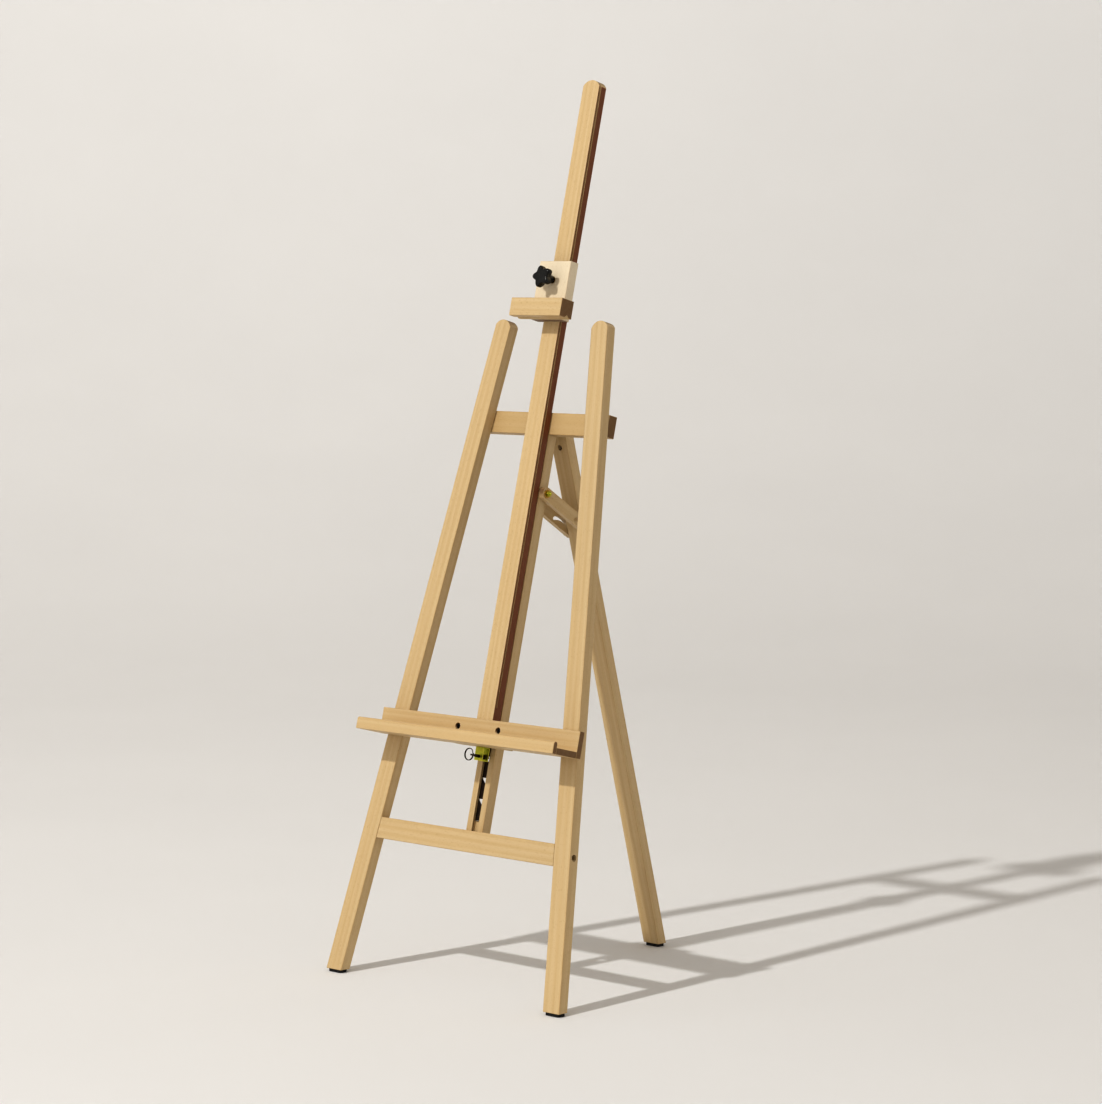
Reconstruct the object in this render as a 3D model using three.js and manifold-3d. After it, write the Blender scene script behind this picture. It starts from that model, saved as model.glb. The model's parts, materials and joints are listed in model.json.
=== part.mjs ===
// Wooden studio easel: two splayed front legs and a hinged rear leg carry a slotted post.
// A mast with a canvas tray slides on the post, and a clamp slides on the mast.
// Millimetres, +Z up, front towards -Y, origin on the floor under the middle of the bounding box.
//
// The front of the easel is drawn in its own leaning frame (x, d, s):
//   x to the right, d depth behind the front faces of the legs, s distance up the slope.

import * as THREE from 'three';
import { mergeVertices } from 'three/addons/utils/BufferGeometryUtils.js';
import Module from 'manifold-3d';

const wasm = await Module();
wasm.setup();

// ---------- driving dimensions ----------

const GAP = 0.3;                   // clearance between pieces that touch
const DEG = Math.PI / 180;

const LEAN = 14 * DEG;             // front frame, from vertical
const REAR_SPREAD = 15.1 * DEG;    // rear leg, from vertical
const FOLD = 28.5 * DEG;           // travel of the rear leg when it folds

const PAD_HEIGHT = 6;              // rubber feet
const PAD_LENGTH = 34;
const PAD_WIDTH = 19;
const PAD_CORNER = 4;

const MEMBER = 40;                 // width of legs
const LEG_DEPTH = 23;
const FOOT_HALF = 286;             // leg axis to centre line, at the floor
const HEAD_HALF = 124;             // leg axis to centre line, at the top
const LEG_TOP = 1291;
const TOP_RADIUS = 22;             // rounded ends of legs

const LOW_BAR = [264, 305];        // lower crossbar, along s
const HIGH_BAR = [1072.6, 1115];   // upper crossbar, along s
const HIGH_BAR_HALF = 167.5;

const POST_FRONT = LEG_DEPTH + GAP;
const POST_BACK = 45.3;
const POST_HALF = 21;
const SLOT_HALF = 7.7;
const POST_BOTTOM = 266;
const TRACK = { half: 12, from: 25.9, to: 28.3 };   // T-track inside the slot
const TRACK_RUN = [200, 1200];     // past both ends of the rails
const POST_BLOCK = { lowTop: 324, highFrom: 36, highBottom: 1030 };
const DOWEL = { radius: 3, half: 22, x: 16.6, d: 38 };

const PITCH = 40.6;                // of the rack's notches
const NOTCH_TOP = 448.8;           // flat top of the notch that the latch faces
const NOTCH_DROP = 17.6;
const NOTCHES_BELOW = 2;
const NOTCHES_ABOVE = 8;
const RACK = { left: -16.7, root: -8.8, right: 7.4, from: 29, to: 31, bottom: 326, top: 806 };
const RELIEF = { near: -9.3, far: -19.5 };          // back corner of the left rail, cut away behind the rack

const MAST_HALF = 21;
const MAST = { from: 0.5, to: 22, bottom: 467, top: 1766, radius: 24 };
const GROOVE = { from: 3.2, to: 6.5, depth: 3.2, bottom: 540 };  // in the mast's sides, for the clamp
const KEY = { neckEase: 0.5, headEase: 0.8, overlap: 1, lower: [522, 582], upper: [664, 724] };

const TRAY_HALF = 257.5;
const TRAY = { front: -79.3, back: -1.2, bottom: 464.5, floorTop: 476.5, lipTop: 487.5, top: 515.5 };
const TRAY_LIP = 9.7;
const TRAY_BOARD = 12.8;
const TRAY_BOLT = { x: 52.5, s: 497, head: 5, headFrom: -12.4, shoulder: -8.5, end: 29 };
const TRAY_SINK = { radius: 6.5, floor: -8.2 };     // sunk hole for the head of a tray bolt
const CARRIAGE = { half: 66, from: -0.9, to: 22, bottom: 464.3, top: 514.5 };
const LAP = 11.2;                  // depth where mast and carriage are halved

const PIN_S = NOTCH_TOP - 2.8;     // height of the latch pin
const BRACKET = { half: 10.5, from: 1, to: 18, bottom: 438, top: 464, sheet: 1.6 };
const RING_RADIUS = 11;
const RING_WIRE = 0.9;
const RING_EYE_D = -14.5;
const PLUNGER = { stem: 3, front: -9, collar: 5, collarFrom: 12, collarTo: 15, shoulder: 21, pin: 2.5 };
const PIN_SHORT = 0.6;             // the pin ends this far in front of the rack
const TAB = { half: 3.4, front: -18.5, back: -8, thick: 3, eye: 1.7 };
const COIL = { inner: 3.6, outer: 4.8, to: 5.6 };

const BLOCK = { half: 40, from: -16, to: 6, bottom: 1288.3, top: 1403.5, channel: 0.1 };
const BAR = { half: 66, from: -50.5, bottom: 1288.3, top: 1323.3 };
const BAR_GROOVE = [-36, -30, -24];
const BAR_GROOVE_DEPTH = 5;
const KNOB_S = 1366;
const KNOB = { front: -50, back: -36, mean: 19.3, lobe: 3.5, lobes: 5, points: 50, blind: -46 };
const HUB = [[8.5, -38], [7.5, -18]];
const CLAMP_SCREW = { radius: 4, from: -45.6, to: -3.9 };
const INSERT = { radius: 7, sunk: 0.2, to: -6, room: -5.7 };
const CLAMP_PAD = { radius: 7, from: -3.3, to: 0.2, room: -3.6 };
const SLIDE_EASE = 0.4;            // clearance of the clamp on the mast

const HINGE = { s: 1108, d: 49.6, barrel: 4, sheet: 2, half: 18, height: 34 };
const KNUCKLE = { middle: 6.2, ease: 0.4, bore: 1.9, pin: 1.5, room: 9, below: 0.6, pinPast: 1 };
const REAR_DEPTH = 22.5;
const REAR_BLANK = 1200;           // length before the foot is cut to the floor
const REAR_TOP = -1;               // top end, just below the hinge axis
const REAR_HOLE = 59;              // below the hinge
const REAR_HOLE_RADIUS = 5.5;

const ARM = { inner: 21.5, outer: 33, radius: 12, s: 959.5, d: 33, length: 157 };
const ARM_BOLT_DOWN = 238;         // rear pivot, below the hinge along the rear leg
const ARM_RATIO = 1.71;            // turn of the arms for each degree of the rear leg
const ARM_EASE = 1.6 * DEG;        // centres the curved slot in the arm
const ARM_BORE = 3.5;
const ARM_SLOT = 3.6;              // half the width of the curved slot

// fasteners: head and shank are radii
const SCREW_HEAD = 2.4;            // height of a round screw head
const M6 = 3;
const NUT_RADIUS = 5.8;
const NUT_HEIGHT = 5;
const CROSS_BOLT = { s: 284.5, d: 11.5, head: 5, headX: 252, shoulderX: 247, bore: 6.2, past: 12 };
const BARREL = { x: 186, radius: 5, from: 4, to: 19, room: 3.5 };
const HIGH_SCREW = { head: 4.4, shank: 2.1, tip: 8 };
const HIGH_SCREWS = [[1084, 'low'], [1104, 'high']];
const POST_SCREW = { x: 14.75, s: 285, head: 4.2, shank: 2, tip: 9 };
const HINGE_SCREW = { x: 9.5, s: HINGE.s - 17, head: 3.2, proud: 0.2, shank: 1.8, tip: 28 };
const LEG_SCREW = { x: 8, below: 26, from: 0.4, tip: 20 };
const REAR_BOLT = { head: 5.4, from: -40, shoulder: -36.6, end: 42, nut: [34.2, 39] };
const ARM_BOLT = { head: 5.6, from: -37.2, shoulder: -33.6, end: 43, nut: [35.2, 40.4] };
const ARM_WASHER = { radius: 8.4, from: 33.3, to: 34.9 };

// cutting tools reach past the piece they cut
const PAST = 1;
const THROUGH = 60;                // beyond any depth of the front frame
const OUTSIDE = 300;               // beyond the outer side of a leg at the lower crossbar
const FLOOR_CUT = { wide: 900, long: 3000, deep: 200 };

// ---------- materials ----------

const finish = (color, roughness, metalness = 0) => () =>
  new THREE.MeshStandardMaterial({ color, roughness, metalness });
const beech = finish(0xd9b888, 0.55);
const zinc = finish(0xb3a63f, 0.35, 0.9);
const steel = finish(0x8d8f92, 0.35, 0.9);
const blackSteel = finish(0x161412, 0.5, 0.7);
const blackPlastic = finish(0x0f0e0d, 0.45);
const nylon = finish(0x2a2826, 0.5);
const brass = finish(0xb08d45, 0.35, 0.9);
const rubber = finish(0x141414, 0.85);

// ---------- solids ----------

function signedVolume(positions, indices) {
  const a = new THREE.Vector3();
  const b = new THREE.Vector3();
  const c = new THREE.Vector3();
  let total = 0;
  for (let i = 0; i < indices.length; i += 3) {
    a.fromArray(positions, 3 * indices[i]);
    b.fromArray(positions, 3 * indices[i + 1]);
    c.fromArray(positions, 3 * indices[i + 2]);
    total += a.dot(b.cross(c)) / 6;
  }
  return total;
}

// A closed three.js geometry as a solid, its faces turned outwards.
function solid(geometry) {
  const bare = geometry.clone();
  bare.deleteAttribute('normal');
  bare.deleteAttribute('uv');
  const merged = mergeVertices(bare, 1e-4);
  const index = merged.index.array;
  const positions = merged.attributes.position.array;
  const triangles = [];
  for (let i = 0; i < index.length; i += 3) {
    const [a, b, c] = [index[i], index[i + 1], index[i + 2]];
    if (a !== b && b !== c && c !== a) triangles.push(a, b, c);
  }
  if (signedVolume(positions, triangles) < 0) triangles.reverse();
  return new wasm.Manifold(new wasm.Mesh({
    numProp: 3,
    vertProperties: Float32Array.from(positions),
    triVerts: Uint32Array.from(triangles),
  }));
}

function toGeometry(manifold) {
  const mesh = manifold.getMesh();
  const geometry = new THREE.BufferGeometry();
  geometry.setAttribute('position', new THREE.BufferAttribute(mesh.vertProperties, 3));
  geometry.setIndex(new THREE.BufferAttribute(mesh.triVerts, 1));
  return geometry;
}

function box(x0, x1, y0, y1, z0, z1) {
  const geometry = new THREE.BoxGeometry(x1 - x0, y1 - y0, z1 - z0);
  return geometry.translate((x0 + x1) / 2, (y0 + y1) / 2, (z0 + z1) / 2);
}

function extrude(shape, depth, curveSegments = 10) {
  return new THREE.ExtrudeGeometry(shape, { depth, bevelEnabled: false, curveSegments });
}

function polygon(points) {
  return new THREE.Shape(points.map(([u, v]) => new THREE.Vector2(u, v)));
}

// An outline in (x, s), made solid from depth y0 to y1.
function slabY(shape, y0, y1, curveSegments) {
  return extrude(shape, y1 - y0, curveSegments).rotateX(Math.PI / 2).translate(0, y1, 0);
}

// An outline in (d, s), made solid from x0 to x1.
function slabX(shape, x0, x1, curveSegments) {
  const turn = new THREE.Matrix4().set(0, 0, 1, x0, 1, 0, 0, 0, 0, 1, 0, 0, 0, 0, 0, 1);
  return extrude(shape, x1 - x0, curveSegments).applyMatrix4(turn);
}

// A turned piece along +Y through (x, z). profile lists [radius, y], from one end to the other.
function turned(profile, x, z, sides = 12) {
  const first = new THREE.Vector2(0, profile[0][1]);
  const last = new THREE.Vector2(0, profile[profile.length - 1][1]);
  const points = [first, ...profile.map(([r, y]) => new THREE.Vector2(r, y)), last];
  return new THREE.LatheGeometry(points, sides).translate(x, 0, z);
}

// The same piece along +X through (y, z).
function turnedX(profile, y, z, sides = 12) {
  return turned(profile, 0, 0, sides).rotateZ(-Math.PI / 2).translate(0, y, z);
}

const rod = (radius, from, to) => [[radius, from], [radius, to]];
const headed = (head, headFrom, shoulder, radius, to) =>
  [[head, headFrom], [head, shoulder], [radius, shoulder], [radius, to]];

function cut(body, ...tools) {
  return tools.reduce((rest, tool) => rest.subtract(solid(tool)), solid(body));
}

function join(...parts) {
  return parts.slice(1).reduce((sum, part) => sum.add(solid(part)), solid(parts[0]));
}

const cutMore = (manifold, ...tools) => tools.reduce((rest, tool) => rest.subtract(solid(tool)), manifold);

// ---------- assembly ----------

const easel = new THREE.Group();
const frame = new THREE.Group();      // everything drawn in the leaning frame
const rear = new THREE.Group();       // everything drawn in the rear leg's frame

function place(group, name, shape, material) {
  const geometry = shape instanceof THREE.BufferGeometry ? toGeometry(solid(shape)) : toGeometry(shape);
  const mesh = new THREE.Mesh(geometry, material());
  mesh.name = name;
  group.add(mesh);
  return mesh;
}

const SIDES = [['left', -1], ['right', 1]];
const splay = Math.atan((FOOT_HALF - HEAD_HALF) / LEG_TOP);
const legAxis = (s) => FOOT_HALF - s * Math.tan(splay);
const legInner = (s) => legAxis(s) - MEMBER / 2 / Math.cos(splay);

// A straight member with a rounded top, upright on the s axis.
function roundTopped(half, bottom, top, radius) {
  const centre = top - radius;
  const shoulder = Math.acos(half / radius);
  const shape = new THREE.Shape();
  shape.moveTo(-half, bottom);
  shape.lineTo(half, bottom);
  shape.lineTo(half, centre + radius * Math.sin(shoulder));
  shape.absarc(0, centre, radius, shoulder, Math.PI - shoulder, false);
  shape.closePath();
  return shape;
}

// Everything below the floor cut, as seen in a frame tilted by angle about X at (y, z).
function underFloor(angle, y = 0, z = 0) {
  const { wide, long, deep } = FLOOR_CUT;
  return new THREE.BoxGeometry(wide, long, deep).translate(0, -y, -z - deep / 2).rotateX(-angle);
}

// profiles of the fasteners of the fixed frame
const bolted = (side, from, to) =>
  turnedX(rod(M6 + GAP, side * from, side * to), CROSS_BOLT.d, CROSS_BOLT.s);
const boltEnd = BARREL.x - CROSS_BOLT.past;
const crossbarBolt = (side) =>
  headed(CROSS_BOLT.head, side * CROSS_BOLT.headX, side * CROSS_BOLT.shoulderX, M6, side * boltEnd);
const barrelNut = rod(BARREL.radius, BARREL.from, BARREL.to);
const seat = POST_BACK + GAP;
const roundScrew = ({ head, shank, tip }) => headed(head, seat + SCREW_HEAD, seat, shank, tip);
const hingeScrew = headed(HINGE_SCREW.head, HINGE.d + HINGE_SCREW.proud, HINGE.d - HINGE.sheet + GAP,
  HINGE_SCREW.shank, HINGE_SCREW.tip);

function frontLeg(name, side) {
  const length = LEG_TOP / Math.cos(splay);
  const outline = roundTopped(MEMBER / 2, -MEMBER, length, TOP_RADIUS);
  const body = slabY(outline, 0, LEG_DEPTH, 8).rotateY(-side * splay).translate(side * FOOT_HALF, 0, 0);
  const { d, s: boltS, bore, shoulderX } = CROSS_BOLT;
  const sink = turnedX(rod(bore, side * OUTSIDE, side * (shoulderX - GAP)), d, boltS, 16);
  const { shank, tip } = HIGH_SCREW;
  const pilot = rod(shank + GAP, tip - GAP, THROUGH);
  const screws = HIGH_SCREWS.map(([s]) => turned(pilot, side * legAxis(s), s));
  place(frame, name, cut(body, underFloor(-LEAN), sink, bolted(side, OUTSIDE, BARREL.x), ...screws), beech);
}

function lowerCrossbar() {
  const [s0, s1] = LOW_BAR;
  const end0 = legInner(s0) - GAP;
  const end1 = legInner(s1) - GAP;
  const body = slabY(polygon([[-end0, s0], [end0, s0], [end1, s1], [-end1, s1]]), GAP, LEG_DEPTH - GAP);
  const holes = [];
  for (const [, side] of SIDES) {
    holes.push(bolted(side, OUTSIDE, boltEnd - GAP));
    holes.push(turned(rod(BARREL.radius + GAP, BARREL.room, THROUGH), side * BARREL.x, CROSS_BOLT.s));
    holes.push(turned(rod(POST_SCREW.shank + GAP, POST_SCREW.tip - GAP, THROUGH),
      side * POST_SCREW.x, POST_SCREW.s));
  }
  place(frame, 'lower_crossbar', cut(body, ...holes), beech);
}

function upperCrossbar() {
  const body = box(-HIGH_BAR_HALF, HIGH_BAR_HALF, POST_FRONT, POST_BACK, ...HIGH_BAR);
  const holes = [];
  for (const [, side] of SIDES) {
    for (const [s] of HIGH_SCREWS) {
      holes.push(turned(rod(HIGH_SCREW.shank + GAP, 0, THROUGH), side * legAxis(s), s));
    }
    holes.push(turned(rod(HINGE_SCREW.shank + GAP, HINGE_SCREW.tip - GAP, THROUGH),
      side * HINGE_SCREW.x, HINGE_SCREW.s));
    holes.push(dowel(side, GAP));
  }
  place(frame, 'upper_crossbar', cut(body, ...holes), beech);
}

function dowel(side, extra = 0) {
  const [s0, s1] = [HIGH_BAR[0] - DOWEL.half - extra, HIGH_BAR[0] + DOWEL.half + extra];
  const pin = turned(rod(DOWEL.radius + extra, s0, s1), 0, 0, 10).rotateX(Math.PI / 2);
  return pin.translate(side * DOWEL.x, DOWEL.d, 0);
}

// One of the two rails of the post, with the T-track. The left one holds the rack in a groove, and
// its back corner is cut away behind the rack, so that the notches are open right through.
function postRail(name, side) {
  const inner = side * SLOT_HALF;
  const outer = side * POST_HALF;
  const span = (a, b) => [Math.min(a, b), Math.max(a, b)];
  const body = box(...span(inner, outer), POST_FRONT, POST_BACK, POST_BOTTOM, HIGH_BAR[0] - GAP);
  const track = box(...span(inner - side, side * TRACK.half), TRACK.from, TRACK.to, ...TRACK_RUN);
  const tools = [track];
  if (side < 0) {
    const { left, from, to, bottom, top } = RACK;
    tools.push(box(left - GAP, inner + PAST, from - GAP, to + GAP, bottom - GAP, top + GAP));
    const corner = polygon([[RELIEF.near, to], [inner + PAST, to], [inner + PAST, THROUGH],
      [RELIEF.far, THROUGH], [RELIEF.far, POST_BACK]]);
    tools.push(extrude(corner, top - bottom + 2 * GAP).translate(0, 0, bottom - GAP));
  }
  tools.push(turned(rod(POST_SCREW.shank + GAP, 0, THROUGH), side * POST_SCREW.x, POST_SCREW.s));
  tools.push(turnedX(rod(ARM_BORE, 0, side * THROUGH), ARM.d, ARM.s, 16));
  tools.push(dowel(side, GAP));
  place(frame, name, cut(body, ...tools), beech);
}

function postBlocks() {
  const half = SLOT_HALF - GAP;
  const back = POST_BACK - GAP;
  const { lowTop, highFrom, highBottom } = POST_BLOCK;
  place(frame, 'post_bottom_block', box(-half, half, RACK.to + GAP, back, POST_BOTTOM, lowTop), beech);
  place(frame, 'post_top_block', box(-half, half, highFrom, back, highBottom, HIGH_BAR[0] - GAP), beech);
}

function rackStrip() {
  const { left, root, right, from, to, bottom, top } = RACK;
  const points = [[left, bottom], [right, bottom]];
  for (let i = -NOTCHES_BELOW; i <= NOTCHES_ABOVE; i += 1) {
    const flat = NOTCH_TOP + i * PITCH;
    points.push([right, flat - NOTCH_DROP], [root, flat], [right, flat]);
  }
  points.push([right, top], [left, top]);
  place(frame, 'rack_strip', slabY(polygon(points), from, to), blackSteel);
}

function frameFasteners() {
  for (const [word, side] of SIDES) {
    const bolt = turnedX(crossbarBolt(side), CROSS_BOLT.d, CROSS_BOLT.s);
    place(frame, `crossbar_bolt_${word}`, bolt, steel);
    const barrel = turned(barrelNut, side * BARREL.x, CROSS_BOLT.s);
    place(frame, `barrel_nut_${word}`, cut(barrel, bolted(side, OUTSIDE, 0)), steel);
    for (const [s, level] of HIGH_SCREWS) {
      const highScrew = turned(roundScrew(HIGH_SCREW), side * legAxis(s), s);
      place(frame, `crossbar_screw_${word}_${level}`, highScrew, zinc);
    }
    const postScrew = turned(roundScrew(POST_SCREW), side * POST_SCREW.x, POST_SCREW.s);
    place(frame, `post_screw_${word}`, postScrew, zinc);
    place(frame, `post_dowel_${word}`, dowel(side), beech);
    const screw = turned(hingeScrew, side * HINGE_SCREW.x, HINGE_SCREW.s, 10);
    place(frame, `hinge_screw_frame_${word}`, screw, zinc);
  }
}

// ---------- hinge ----------

// A leaf below the hinge axis, in a frame with its origin on the axis. y0 to y1 is the sheet.
function hingeLeaf(y0, y1, barrels, gapsFor, screwX, screwZ) {
  const { barrel, half, height } = HINGE;
  const sheet = box(-half, half, y0, y1, -height, 0);
  const knuckles = barrels.map(([a, b]) => turnedX(rod(barrel, a, b), 0, 0, 16));
  const { bore, room, below } = KNUCKLE;
  const rooms = gapsFor.map(([a, b]) => box(a, b, -room, room, -barrel - below, room));
  const leaf = cutMore(join(sheet, ...knuckles), ...rooms);
  const drilled = rod(HINGE_SCREW.shank + GAP, -room, room);
  const holes = SIDES.map(([, side]) => turned(drilled, side * screwX, screwZ, 10));
  return cutMore(leaf, turnedX(rod(bore, -THROUGH, THROUGH), 0, 0, 16), ...holes);
}

function hinge() {
  const { barrel, sheet, half } = HINGE;
  const { middle, ease, pin, pinPast } = KNUCKLE;
  const outer = [[-half, -middle], [middle, half]];
  const low = HINGE_SCREW.s - HINGE.s;
  const fixed = hingeLeaf(-barrel, sheet - barrel, outer, [[-middle, middle]], HINGE_SCREW.x, low);
  const rooms = [[-half - PAST, ease - middle], [middle - ease, half + PAST]];
  const knuckle = [[ease - middle, middle - ease]];
  const swinging = hingeLeaf(barrel - sheet, barrel, knuckle, rooms, LEG_SCREW.x, -LEG_SCREW.below);
  place(frame, 'hinge_leaf_frame', fixed, zinc).position.set(0, HINGE.d, HINGE.s);
  place(rear, 'hinge_leaf_leg', swinging, zinc);
  place(frame, 'hinge_pin', turnedX(rod(pin, -half - pinPast, half + pinPast), HINGE.d, HINGE.s), steel);
}

// ---------- rear leg ----------

const hingeY = HINGE.s * Math.sin(LEAN) + HINGE.d * Math.cos(LEAN);
const hingeZ = HINGE.s * Math.cos(LEAN) - HINGE.d * Math.sin(LEAN);
const rearFace = HINGE.barrel + GAP;
const rearMiddle = rearFace + REAR_DEPTH / 2;
const legScrew = headed(HINGE_SCREW.head, LEG_SCREW.from, HINGE.sheet - GAP,
  HINGE_SCREW.shank, LEG_SCREW.tip);
const crossPin = ({ head, from, shoulder, end }) => headed(head, from, shoulder, M6, end);

function rearLeg() {
  const body = box(-MEMBER / 2, MEMBER / 2, rearFace, rearFace + REAR_DEPTH, -REAR_BLANK, REAR_TOP);
  const tools = [
    underFloor(REAR_SPREAD, hingeY, hingeZ),
    turned(rod(REAR_HOLE_RADIUS, -THROUGH, THROUGH), 0, -REAR_HOLE, 16),
    turnedX(rod(M6 + GAP, -THROUGH, THROUGH), rearMiddle, -ARM_BOLT_DOWN),
  ];
  const { x, below, tip } = LEG_SCREW;
  const pilot = rod(HINGE_SCREW.shank + GAP, -THROUGH, tip + GAP);
  for (const [, side] of SIDES) tools.push(turned(pilot, side * x, -below, 10));
  place(rear, 'rear_leg', cut(body, ...tools), beech);
  for (const [word, side] of SIDES) {
    place(rear, `hinge_screw_leg_${word}`, turned(legScrew, side * x, -below, 10), zinc);
  }
  place(rear, 'spreader_bolt_rear', turnedX(crossPin(REAR_BOLT), rearMiddle, -ARM_BOLT_DOWN), zinc);
  place(rear, 'spreader_nut_rear', nut(...REAR_BOLT.nut, rearMiddle, -ARM_BOLT_DOWN), zinc);
}

// A hexagon nut on a bolt along X.
function nut(x0, x1, y, z) {
  const body = turnedX(rod(NUT_RADIUS, x0, x1), y, z, 6);
  return cut(body, turnedX(rod(M6 + GAP, x0 - PAST, x1 + PAST), y, z));
}

// ---------- spreader arms ----------

// Where the rear pivot is, in (d, s), when the rear leg has folded by an angle.
function rearPivot(folded) {
  const open = LEAN + REAR_SPREAD - folded;
  const d = HINGE.d + ARM_BOLT_DOWN * Math.sin(open) + rearMiddle * Math.cos(open);
  const s = HINGE.s - ARM_BOLT_DOWN * Math.cos(open) + rearMiddle * Math.sin(open);
  return [d - ARM.d, s - ARM.s];
}

// The same pivot seen from the arm, which turns ARM_RATIO times as far.
function pivotOnArm(folded) {
  const [d, s] = rearPivot(folded);
  const turn = ARM_RATIO * folded;
  return [d * Math.cos(turn) - s * Math.sin(turn), d * Math.sin(turn) + s * Math.cos(turn)];
}

const [pivotD, pivotS] = rearPivot(0);
const armAngle = Math.atan2(pivotS, pivotD) + ARM_EASE;

function armOutline() {
  const { radius, length } = ARM;
  const shape = new THREE.Shape();
  shape.absarc(0, 0, radius, Math.PI / 2, Math.PI * 1.5, false);
  shape.absarc(length, 0, radius, -Math.PI / 2, Math.PI / 2, false);
  shape.closePath();
  return shape;
}

// A band of the slot's width along the path of the rear pivot, with the axis along the arm.
function slotOutline() {
  const steps = 10;
  const path = [];
  for (let i = 0; i <= steps; i += 1) {
    const [d, s] = pivotOnArm((FOLD * i) / steps);
    path.push(new THREE.Vector2(d, s).rotateAround(new THREE.Vector2(0, 0), -armAngle));
  }
  const heading = (i) => path[Math.min(i + 1, steps)].clone().sub(path[Math.max(i - 1, 0)]).angle();
  const edge = (i, turn) => path[i].clone().add(new THREE.Vector2(ARM_SLOT, 0).rotateAround(
    new THREE.Vector2(0, 0), heading(i) + turn));
  const cap = (i, from) => [1, 2, 3, 4].map((k) => edge(i, from + (k * Math.PI) / 5));
  const there = path.map((_, i) => edge(i, -Math.PI / 2));
  const back = path.map((_, i) => edge(i, Math.PI / 2)).reverse();
  return new THREE.Shape([...there, ...cap(steps, -Math.PI / 2), ...back, ...cap(0, Math.PI / 2)]);
}

function spreaderArms() {
  for (const [word, side] of SIDES) {
    const [x0, x1] = side < 0 ? [-ARM.outer, -ARM.inner] : [ARM.inner, ARM.outer];
    const blank = slabX(armOutline(), x0, x1, 8);
    const slot = slabX(slotOutline(), x0 - PAST, x1 + PAST);
    const hole = turnedX(rod(ARM_BORE, x0 - PAST, x1 + PAST), 0, 0, 16);
    const arm = place(frame, `spreader_arm_${word}`, cut(blank, slot, hole), beech);
    arm.position.set(0, ARM.d, ARM.s);
    arm.rotation.x = armAngle;
  }
  place(frame, 'spreader_bolt_front', turnedX(crossPin(ARM_BOLT), ARM.d, ARM.s), zinc);
  const washer = turnedX(rod(ARM_WASHER.radius, ARM_WASHER.from, ARM_WASHER.to), ARM.d, ARM.s, 16);
  const hole = turnedX(rod(M6 + GAP, 0, THROUGH), ARM.d, ARM.s);
  place(frame, 'spreader_washer_front', cut(washer, hole), zinc);
  place(frame, 'spreader_nut_front', nut(...ARM_BOLT.nut, ARM.d, ARM.s), zinc);
}

// ---------- mast and tray ----------

function mast() {
  const outline = roundTopped(MAST_HALF, MAST.bottom, MAST.top, MAST.radius);
  const body = slabY(outline, MAST.from, MAST.to, 8);
  const tools = [box(-THROUGH, THROUGH, -THROUGH, LAP + GAP, MAST.bottom - PAST, CARRIAGE.top + GAP)];
  for (const [, side] of SIDES) {
    const edge = [side * (MAST_HALF - GROOVE.depth), side * (MAST_HALF + PAST)].sort((a, b) => a - b);
    tools.push(box(...edge, GROOVE.from, GROOVE.to, GROOVE.bottom, MAST.top + THROUGH));
  }
  place(frame, 'mast', cut(body, ...tools), beech);
}

function guideKey(name, s0, s1) {
  const neckHalf = SLOT_HALF - KEY.neckEase;
  const neck = box(-neckHalf, neckHalf, MAST.to + GAP, TRACK.from + KEY.overlap, s0, s1);
  const half = TRACK.half - KEY.headEase;
  const head = box(-half, half, TRACK.from + GAP, TRACK.to - GAP, s0, s1);
  place(frame, name, join(neck, head), nylon);
}

function trayCarriage() {
  const { half, from, to, bottom, top } = CARRIAGE;
  const mastRoom = box(-MAST_HALF - GAP, MAST_HALF + GAP, LAP, to + PAST, bottom - PAST, top + PAST);
  const holes = SIDES.map(([, side]) => trayBoltHole(side));
  place(frame, 'tray_carriage', cut(box(-half, half, from, to, bottom, top), mastRoom, ...holes), beech);
}

function trayBoltHole(side) {
  return turned(rod(M6 + GAP, -THROUGH, THROUGH), side * TRAY_BOLT.x, TRAY_BOLT.s);
}

function trayBoards() {
  const { front, back, bottom, floorTop, lipTop, top } = TRAY;
  const boardFront = back - TRAY_BOARD;
  const lipBack = front + TRAY_LIP;
  const round = TRAY_LIP / 2;
  const lip = new THREE.Shape();
  lip.moveTo(front, bottom);
  lip.lineTo(lipBack, bottom);
  lip.lineTo(lipBack, lipTop - round);
  lip.absarc(front + round, lipTop - round, round, 0, Math.PI, false);
  lip.closePath();
  place(frame, 'tray_lip', slabX(lip, -TRAY_HALF, TRAY_HALF, 6), beech);
  const floor = box(-TRAY_HALF, TRAY_HALF, lipBack + GAP, boardFront - GAP, bottom, floorTop);
  place(frame, 'tray_base', floor, beech);
  const board = box(-TRAY_HALF, TRAY_HALF, boardFront, back, bottom, top);
  const holes = [];
  for (const [, side] of SIDES) {
    const sink = rod(TRAY_SINK.radius, -THROUGH, TRAY_SINK.floor);
    holes.push(turned(sink, side * TRAY_BOLT.x, TRAY_BOLT.s, 16), trayBoltHole(side));
  }
  place(frame, 'tray_back', cut(board, ...holes), beech);
}

function trayBolts() {
  const { head, headFrom, shoulder, end } = TRAY_BOLT;
  const profile = headed(head, headFrom, shoulder, M6, end);
  for (const [word, side] of SIDES) {
    place(frame, `tray_bolt_${word}`, turned(profile, side * TRAY_BOLT.x, TRAY_BOLT.s), zinc);
    const flats = rod(NUT_RADIUS, CARRIAGE.to + GAP, CARRIAGE.to + GAP + NUT_HEIGHT);
    const body = turned(flats, side * TRAY_BOLT.x, TRAY_BOLT.s, 6);
    place(frame, `tray_nut_${word}`, cut(body, trayBoltHole(side)), zinc);
  }
}

// ---------- latch ----------

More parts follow.
